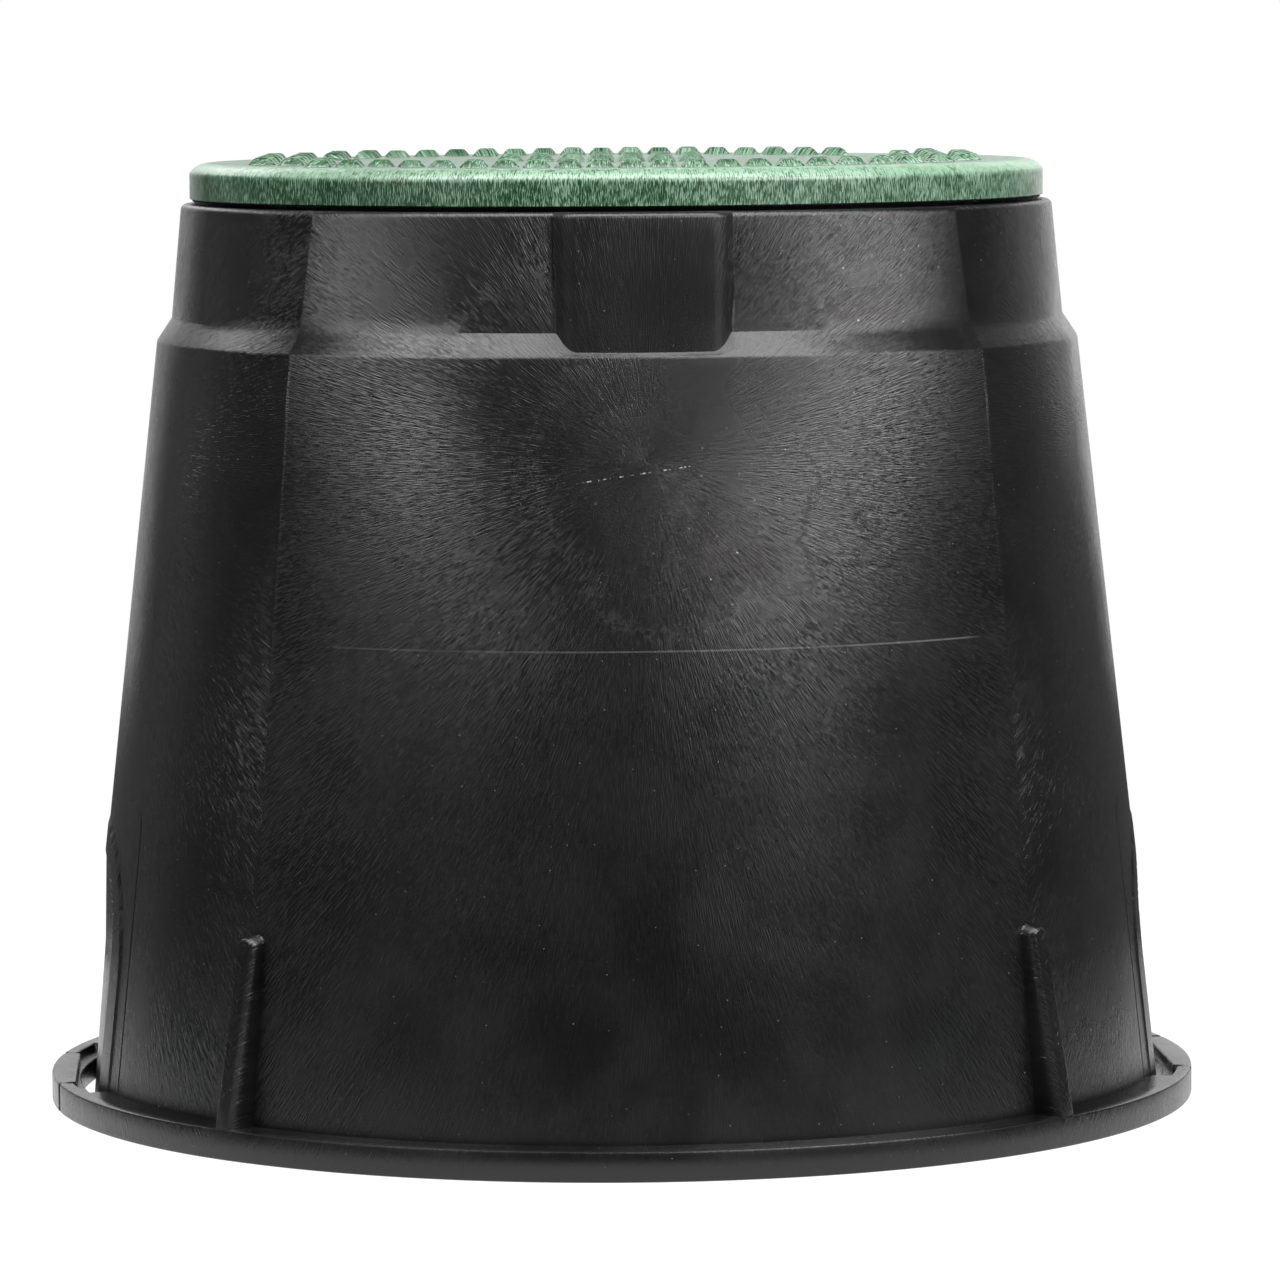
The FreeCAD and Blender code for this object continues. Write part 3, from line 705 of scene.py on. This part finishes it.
class Shader:
    """Nodes of one material, made and joined by short calls; a value is a number, colour or output."""

    def __init__(self, name):
        """New material with its surface node."""
        self.material = bpy.data.materials.new(name)
        self.material.use_nodes = True
        self.tree = self.material.node_tree
        self.surface = self.tree.nodes["Principled BSDF"]

    def node(self, kind, output=0, inputs=None, **settings):
        """One output of a new node with its settings, and inputs set or joined by name or number."""
        made = self.tree.nodes.new(kind)
        for name, value in settings.items():
            setattr(made, name, value)
        for key, value in (inputs or {}).items():
            if isinstance(value, bpy.types.NodeSocket):
                self.tree.links.new(value, made.inputs[key])
            else:
                made.inputs[key].default_value = value
        return made.outputs[output]

    def math(self, operation, first, second=0.0):
        """One math step of two numbers."""
        return self.node("ShaderNodeMath", inputs={0: first, 1: second}, operation=operation)

    def chain(self, operation, values):
        """One math step after another over several numbers."""
        result = values[0]
        for value in values[1:]:
            result = self.math(operation, result, value)
        return result

    def times(self, *values):
        """Product of numbers."""
        return self.chain("MULTIPLY", values)

    def plus(self, *values):
        """Sum of numbers."""
        return self.chain("ADD", values)

    def most(self, *values):
        """Largest of numbers."""
        return self.chain("MAXIMUM", values)

    def vector(self, operation, first, second=(0, 0, 0), output=0):
        """One vector step."""
        return self.node("ShaderNodeVectorMath", output, {0: first, 1: second}, operation=operation)

    def combine(self, x, y, z=0.0):
        """Vector of three numbers."""
        return self.node("ShaderNodeCombineXYZ", inputs={0: x, 1: y, 2: z})

    def noise(self, place, scale, detail=2.0, roughness=0.5):
        """Soft noise from 0 to 1."""
        return self.node("ShaderNodeTexNoise", "Fac",
                         {"Vector": place, "Scale": scale, "Detail": detail, "Roughness": roughness})

    def remap(self, value, low, high, to_low=0.0, to_high=1.0, ease="SMOOTHSTEP"):
        """Value from low to high made to_low to to_high, held at both ends."""
        return self.node("ShaderNodeMapRange", inputs={0: value, 1: low, 2: high, 3: to_low, 4: to_high},
                         interpolation_type=ease)

    def mix(self, share, first, second):
        """Mix of two numbers."""
        return self.node("ShaderNodeMix", inputs={0: share, 2: first, 3: second})

    def blend(self, share, first, second):
        """Mix of two colours."""
        return self.node("ShaderNodeMix", 2, {0: share, 6: first, 7: second}, data_type="RGBA")

    def bump(self, height, distance):
        """Normal of a height in steps of distance."""
        return self.node("ShaderNodeBump", inputs={"Height": height, "Distance": distance})

    def finish(self, **sockets):
        """Join or set sockets of the surface, named with _ for spaces, and return the material."""
        for name, value in sockets.items():
            socket = self.surface.inputs[name.replace("_", " ")]
            if isinstance(value, bpy.types.NodeSocket):
                self.tree.links.new(value, socket)
            else:
                socket.default_value = value
        return self.material


def wall_place(shader):
    """Places on the unrolled wall: across from the panel's middle, up the wall, and the panel's number."""
    unrolled = shader.node("ShaderNodeUVMap", uv_map="wall_run")
    split = shader.node("ShaderNodeSeparateXYZ", inputs={0: unrolled}).node
    across, stacked = split.outputs["X"], split.outputs["Y"]
    return across, shader.math("FRACT", stacked), shader.math("FLOOR", stacked)


def flow_streaks(shader, across, up, panel):
    """Fine streaks that run away from each panel's gate, about equally wide at any distance from it.

    The noise is read on a circle of directions whose radius doubles each time the distance does, and
    two neighbouring doublings are mixed. Returns the streaks and the distance from the gate.
    """
    from_gate = shader.combine(across, shader.math("SUBTRACT", up, GATE_RUN))
    distance = shader.vector("LENGTH", from_gate, output="Value")
    heading = shader.vector("NORMALIZE", from_gate)
    widths = shader.math("MAXIMUM", shader.math("DIVIDE", distance, STREAK_WIDTH), 1.0)
    doublings = shader.math("LOGARITHM", widths, 2.0)
    step = shader.math("FLOOR", doublings)
    along = shader.math("DIVIDE", distance, STREAK_LENGTH)
    layers = []
    for extra in (0.0, 1.0):
        level = shader.plus(step, extra)
        turn = shader.vector("SCALE", heading)
        shader.tree.links.new(shader.math("POWER", 2.0, level), turn.node.inputs["Scale"])
        seed = shader.plus(shader.times(level, LEVEL_SEED), shader.times(panel, PANEL_SEED))
        place = shader.vector("ADD", turn, shader.combine(0.0, 0.0, shader.plus(along, seed)))
        layers.append(shader.noise(place, 1.0, detail=1.0))
    return shader.mix(shader.math("FRACT", doublings), *layers), distance


def line_mark(shader, across, up, start, end, half_width):
    """1 on a straight mark of the panels, fading over half_width and at its ends, and the run along it."""
    length = math.dist(start, end)
    along_x, along_y = (end[0] - start[0]) / length, (end[1] - start[1]) / length
    x = shader.math("SUBTRACT", across, start[0])
    y = shader.math("SUBTRACT", up, start[1])
    run = shader.plus(shader.times(x, along_x), shader.times(y, along_y))
    off = shader.math("SUBTRACT", shader.times(y, along_x), shader.times(x, along_y))
    near = shader.remap(shader.math("ABSOLUTE", off), half_width, MARK_CORE * half_width)
    from_middle = shader.math("ABSOLUTE", shader.math("SUBTRACT", run, length / 2))
    return shader.times(near, shader.remap(from_middle, length / 2, MARK_END * length)), run


def oval(shader, across, up, centre, half):
    """Distance from an oval's centre, 1 on its outline."""
    x = shader.math("DIVIDE", shader.math("SUBTRACT", across, centre[0]), half[0])
    y = shader.math("DIVIDE", shader.math("SUBTRACT", up, centre[1]), half[1])
    return shader.vector("LENGTH", shader.combine(x, y), output="Value")


def wandering_line(shader, across, up, middle, low, high):
    """1 on an upright line from low to high that wanders about its middle."""
    wander = shader.noise(shader.combine(up, middle), WANDER_SCALE, detail=4.0, roughness=0.6)
    centre = shader.remap(wander, 0.25, 0.75, middle - WRINKLE_WANDER, middle + WRINKLE_WANDER, ease="LINEAR")
    off = shader.math("ABSOLUTE", shader.math("SUBTRACT", across, centre))
    return shader.times(shader.remap(off, WRINKLE_HALF, WRINKLE_CORE),
                        shader.remap(up, low, low + WRINKLE_FADE),
                        shader.remap(up, high, high - WRINKLE_FADE))


def dust_specks(shader):
    """Dust on the wall, 0 or 1: spots round the points of a scattered grid, in a share of its cells."""
    place = shader.node("ShaderNodeUVMap", uv_map="wall_run")
    spot = shader.node("ShaderNodeTexVoronoi", "Distance", {"Vector": place, "Scale": 1 / DUST_SPACING},
                       voronoi_dimensions="2D")
    pick = shader.node("ShaderNodeSeparateColor", inputs={0: spot.node.outputs["Color"]})
    reach = shader.times(pick.node.outputs["Green"], DUST_SIZE / DUST_SPACING)
    return shader.times(shader.math("LESS_THAN", spot, reach), shader.math("LESS_THAN", pick, DUST_SHARE))


def dark_wrinkles(shader, across, up, on_front):
    """Dull dark wrinkles of the front panel, broken up along their run."""
    lines = [wandering_line(shader, across, up, *wrinkle) for wrinkle in WRINKLES]
    breaks = shader.remap(shader.noise(shader.combine(across, up), BREAK_SCALE), 0.38, 0.58, 0.1, 1.0)
    return shader.times(shader.most(*lines), breaks, on_front)


def pale_marks(shader, across, up, on_front, front_or_back, clouds, place):
    """Share of pale grey in the colour: witness line, dashed scratch, flow ring and dust."""
    witness, _ = line_mark(shader, across, up, *WITNESS_LINE, WITNESS_HALF)
    witness = shader.times(witness, front_or_back, shader.remap(clouds, 0.3, 0.62, 0.25, 1.0),
                           shader.remap(across, *WITNESS_SPAN, 0.4, 1.0))
    scratch, run = line_mark(shader, across, up, *SCRATCH, SCRATCH_HALF)
    dashes = shader.noise(shader.combine(run, 0.0), DASH_SCALE, detail=3.0, roughness=0.7)
    scratch = shader.times(scratch, shader.remap(dashes, 0.5, 0.6), on_front)
    centre, half = FLOW_RING
    off_ring = shader.math("ABSOLUTE", shader.math("SUBTRACT", oval(shader, across, up, centre, half), 1.0))
    lower_part = shader.remap(up, centre[1] + RING_FADE[0], centre[1] + RING_FADE[1])
    flecks = shader.remap(shader.noise(place, FLECK_SCALE), 0.45, 0.6)
    ring = shader.times(shader.remap(off_ring, RING_WIDTH, 0.0), on_front, lower_part, flecks)
    return shader.most(shader.times(witness, WITNESS_PALE), shader.times(ring, RING_PALE),
                       shader.times(scratch, SCRATCH_PALE), shader.times(dust_specks(shader), DUST_PALE))


def black_plastic():
    """Black moulded plastic: satin, with flow streaks from the gates, wrinkles and pale marks.

    The relief is the streaks and a fine grain. The streaks are weaker near the gates, low on the wall, on
    the side panels and on the bosses, and the grain is stronger near the gates.
    """
    shader = Shader("black_plastic_moulded")
    across, up, panel = wall_place(shader)
    place = shader.node("ShaderNodeTexCoord", "Object")
    streaks, from_gate = flow_streaks(shader, across, up, panel)
    clouds = shader.noise(place, CLOUD_SCALE, detail=3.0)
    grain = shader.noise(place, GRAIN_SCALE, detail=1.0)
    on_front = shader.math("LESS_THAN", panel, 0.5)
    front_or_back = shader.math("LESS_THAN", shader.math("MODULO", panel, 2.0), 0.5)
    boss_side = shader.remap(shader.math("ABSOLUTE", across), BOSS_HALF + BOSS_FADE, BOSS_HALF - BOSS_FADE)
    on_boss = shader.times(boss_side, shader.math("GREATER_THAN", up, BOSS_FOOT_RUN), front_or_back)
    wrinkles = dark_wrinkles(shader, across, up, on_front)

    tone = shader.times(shader.remap(streaks, 0.3, 0.75), shader.remap(clouds, 0.3, 0.7, 0.35, 1.0))
    colour = shader.blend(tone, BLACK_DARK, BLACK_LIGHT)
    gate = shader.times(from_gate, shader.remap(clouds, 0.3, 0.7, 0.6, 1.6))
    gate = shader.times(shader.remap(gate, *GATE_DULL), GATE_SHARE)
    colour = shader.blend(shader.most(gate, wrinkles), colour, BLACK_DULL)
    marks = pale_marks(shader, across, up, on_front, front_or_back, clouds, place)
    colour = shader.blend(marks, colour, PALE_GREY)

    roughness = shader.plus(shader.remap(clouds, 0.25, 0.75, *SATIN), shader.times(wrinkles, WRINKLE_ROUGH),
                            shader.times(on_boss, BOSS_ROUGH))
    flow = shader.times(shader.remap(from_gate, *FLOW_SPAN, GATE_FLOW, 1.0),
                        shader.remap(on_boss, 0.0, 1.0, 1.0, BOSS_FLOW),
                        shader.remap(front_or_back, 0.0, 1.0, SIDE_FLOW, 1.0),
                        shader.remap(up, *FOOT_SPAN, FOOT_FLOW, 1.0))
    pebbles = shader.remap(from_gate, *FLOW_SPAN, *GRAIN_SHARES)
    relief = shader.plus(shader.times(streaks, flow), shader.times(grain, pebbles))
    return shader.finish(Base_Color=colour, Roughness=roughness, Normal=shader.bump(relief, WALL_RELIEF))


def green_plastic():
    """Green moulded plastic: dark and pale green threads that run out from the axis and down the skirt.

    The threads are a noise on the circle of directions, stretched along the run from the axis. The tone
    is made paler towards +X as painted light, and paler on the rounded edge as a painted highlight.
    """
    shader = Shader("green_plastic_mottled")
    place = shader.node("ShaderNodeTexCoord", "Object")
    split = shader.node("ShaderNodeSeparateXYZ", inputs={0: place}).node
    side, height = split.outputs["X"], split.outputs["Z"]
    flat = shader.vector("MULTIPLY", place, (1, 1, 0))
    away = shader.vector("LENGTH", flat, output="Value")
    run = shader.times(shader.math("SUBTRACT", away, height), THREAD_STRETCH)
    heading = shader.vector("MULTIPLY", shader.vector("NORMALIZE", flat), (LID_R, LID_R, 0))
    along = shader.vector("ADD", heading, shader.combine(0.0, 0.0, run))
    threads = shader.noise(along, THREAD_SCALE, detail=2.0, roughness=0.6)
    patches = shader.noise(place, PATCH_SCALE, detail=3.0, roughness=0.6)
    # Painted highlight on the rounded edge of the lid
    near_top = shader.remap(height, EDGE_Z - EDGE_FADE, EDGE_Z + EDGE_FADE)
    edge_highlight = shader.times(near_top, shader.remap(away, *EDGE_BAND))
    # Tone: threads and patches are the plastic's own mottling; the +X and rounded-edge terms are painted
    # light
    tone = shader.plus(shader.times(threads, THREAD_SHARE), shader.times(patches, 1 - THREAD_SHARE),
                       shader.times(side, PAINTED_SIDE_LIGHT), shader.times(edge_highlight, PAINTED_EDGE_HIGHLIGHT))
    colour = shader.blend(shader.remap(tone, *GREEN_TONES, ease="LINEAR"), GREEN_DARK, GREEN_PALE)
    return shader.finish(Base_Color=colour, Roughness=GREEN_ROUGHNESS,
                         Normal=shader.bump(threads, THREAD_RELIEF))


# Camera, from the photograph's viewing angle
CAMERA_DISTANCE = 1.9622
CAMERA_AZIMUTH = math.radians(-3.3)
CAMERA_Z = 0.3064
CAMERA_PITCH = math.radians(5.118)
CAMERA_YAW = math.radians(0.176)
CAMERA_ROLL = math.radians(0.36)
FOCAL_PIXELS = 6818
IMAGE_PIXELS = 1280
SENSOR_MM = 36.0
CAMERA_REACH = 100


def make_camera():
    """Camera at a distance from the axis, turned right by the yaw, down by the pitch, then rolled."""
    data = bpy.data.cameras.new("camera")
    data.sensor_width = SENSOR_MM
    data.lens = FOCAL_PIXELS / IMAGE_PIXELS * SENSOR_MM
    data.clip_end = CAMERA_REACH
    camera = bpy.data.objects.new("camera", data)
    place = Vector((math.sin(CAMERA_AZIMUTH), -math.cos(CAMERA_AZIMUTH), 0)) * CAMERA_DISTANCE
    place.z = CAMERA_Z
    heading = Matrix.Rotation(CAMERA_AZIMUTH - CAMERA_YAW, 4, "Z")
    tilt = Matrix.Rotation(QUARTER - CAMERA_PITCH, 4, "X")
    roll = Matrix.Rotation(-CAMERA_ROLL, 4, "Z")
    camera.matrix_world = Matrix.Translation(place) @ heading @ tilt @ roll
    bpy.context.scene.collection.objects.link(camera)
    bpy.context.scene.camera = camera


# Studio lights: azimuth from the camera's side and elevation in degrees, distance, width, height, power
AIM = Vector((0, 0, 0.16))
LIGHTS = {
    "soft_box_right": (54, 29, 1.2, 0.75, 0.44, 12.6),
    "soft_fill_front": (24, 28, 1.25, 0.7, 0.4, 3.6),
    "soft_box_left": (-54, 38, 1.2, 0.75, 0.75, 7.1),
    "low_right": (50, 10, 1.2, 0.5, 0.25, 0.63),
    "low_left": (-45, 10, 1.2, 0.5, 0.25, 0.3),
    "top": (-5, 72, 1.2, 1.8, 0.7, 32.0),
    "back": (182, 14, 1.2, 1.2, 0.9, 3.2),
    "back_right": (150, 15, 1.2, 0.5, 0.7, 0.9),
    "back_left": (-142, 31, 1.2, 0.7, 0.3, 2.4),
    "level_left": (-122, 2, 1.2, 0.5, 0.4, 0.12),
    "level_right": (124, 2, 1.2, 0.5, 0.4, 0.08),
}


def make_light(name, azimuth, elevation, distance, width, height, power):
    """Soft rectangular light that faces the box and isn't seen itself."""
    data = bpy.data.lights.new(name, "AREA")
    data.shape = "RECTANGLE"
    data.size = width
    data.size_y = height
    data.energy = power
    light = bpy.data.objects.new(name, data)
    turn = CAMERA_AZIMUTH + math.radians(azimuth)
    rise = math.radians(elevation)
    away = Vector((math.sin(turn) * math.cos(rise), -math.cos(turn) * math.cos(rise), math.sin(rise)))
    facing = (-away).to_track_quat("-Z", "Y").to_matrix().to_4x4()
    light.matrix_world = Matrix.Translation(AIM + away * distance) @ facing
    light.visible_camera = False
    bpy.context.scene.collection.objects.link(light)


# Surroundings: light for what the box mirrors, and the floor
WORLD_LIGHT = 0.11
WHITE = (1, 1, 1, 1)
FLOOR_HALF = 0.32
FLOOR_GLOW = 1.0
FLOOR_COLOUR = (0.1, 0.1, 0.1, 1)


def make_world():
    """White behind the box for the camera, nearly dark for what the box mirrors."""
    world = bpy.data.worlds.new("studio")
    bpy.context.scene.world = world
    world.use_nodes = True
    tree = world.node_tree
    background = tree.nodes["Background"]
    background.inputs["Color"].default_value = WHITE
    path = tree.nodes.new("ShaderNodeLightPath")
    level = tree.nodes.new("ShaderNodeMapRange")
    level.inputs["To Min"].default_value = WORLD_LIGHT
    level.inputs["To Max"].default_value = 1.0
    tree.links.new(path.outputs["Is Camera Ray"], level.inputs["Value"])
    tree.links.new(level.outputs["Result"], background.inputs["Strength"])


def make_floor():
    """White floor that glows, so that only a faint shadow shows."""
    corners = [(x * FLOOR_HALF, y * FLOOR_HALF, 0) for x, y in ((-1, -1), (1, -1), (1, 1), (-1, 1))]
    mesh = bpy.data.meshes.new("floor")
    mesh.from_pydata(corners, [], [(0, 1, 2, 3)])
    white = Shader("floor_white").finish(Base_Color=FLOOR_COLOUR, Roughness=1.0, Specular_IOR_Level=0.0,
                                         Emission_Color=WHITE, Emission_Strength=FLOOR_GLOW)
    mesh.materials.append(white)
    floor = bpy.data.objects.new("floor", mesh)
    floor.visible_diffuse = False
    bpy.context.scene.collection.objects.link(floor)


black = black_plastic()
green = green_plastic()
make_shell(black)
make_flange(black)
make_lid_disc(green)
make_lid_ribs(green)
make_studs(green)
make_camera()
for light_name, setting in LIGHTS.items():
    make_light(light_name, *setting)
make_world()
make_floor()
bpy.context.scene.view_settings.view_transform = "Standard"
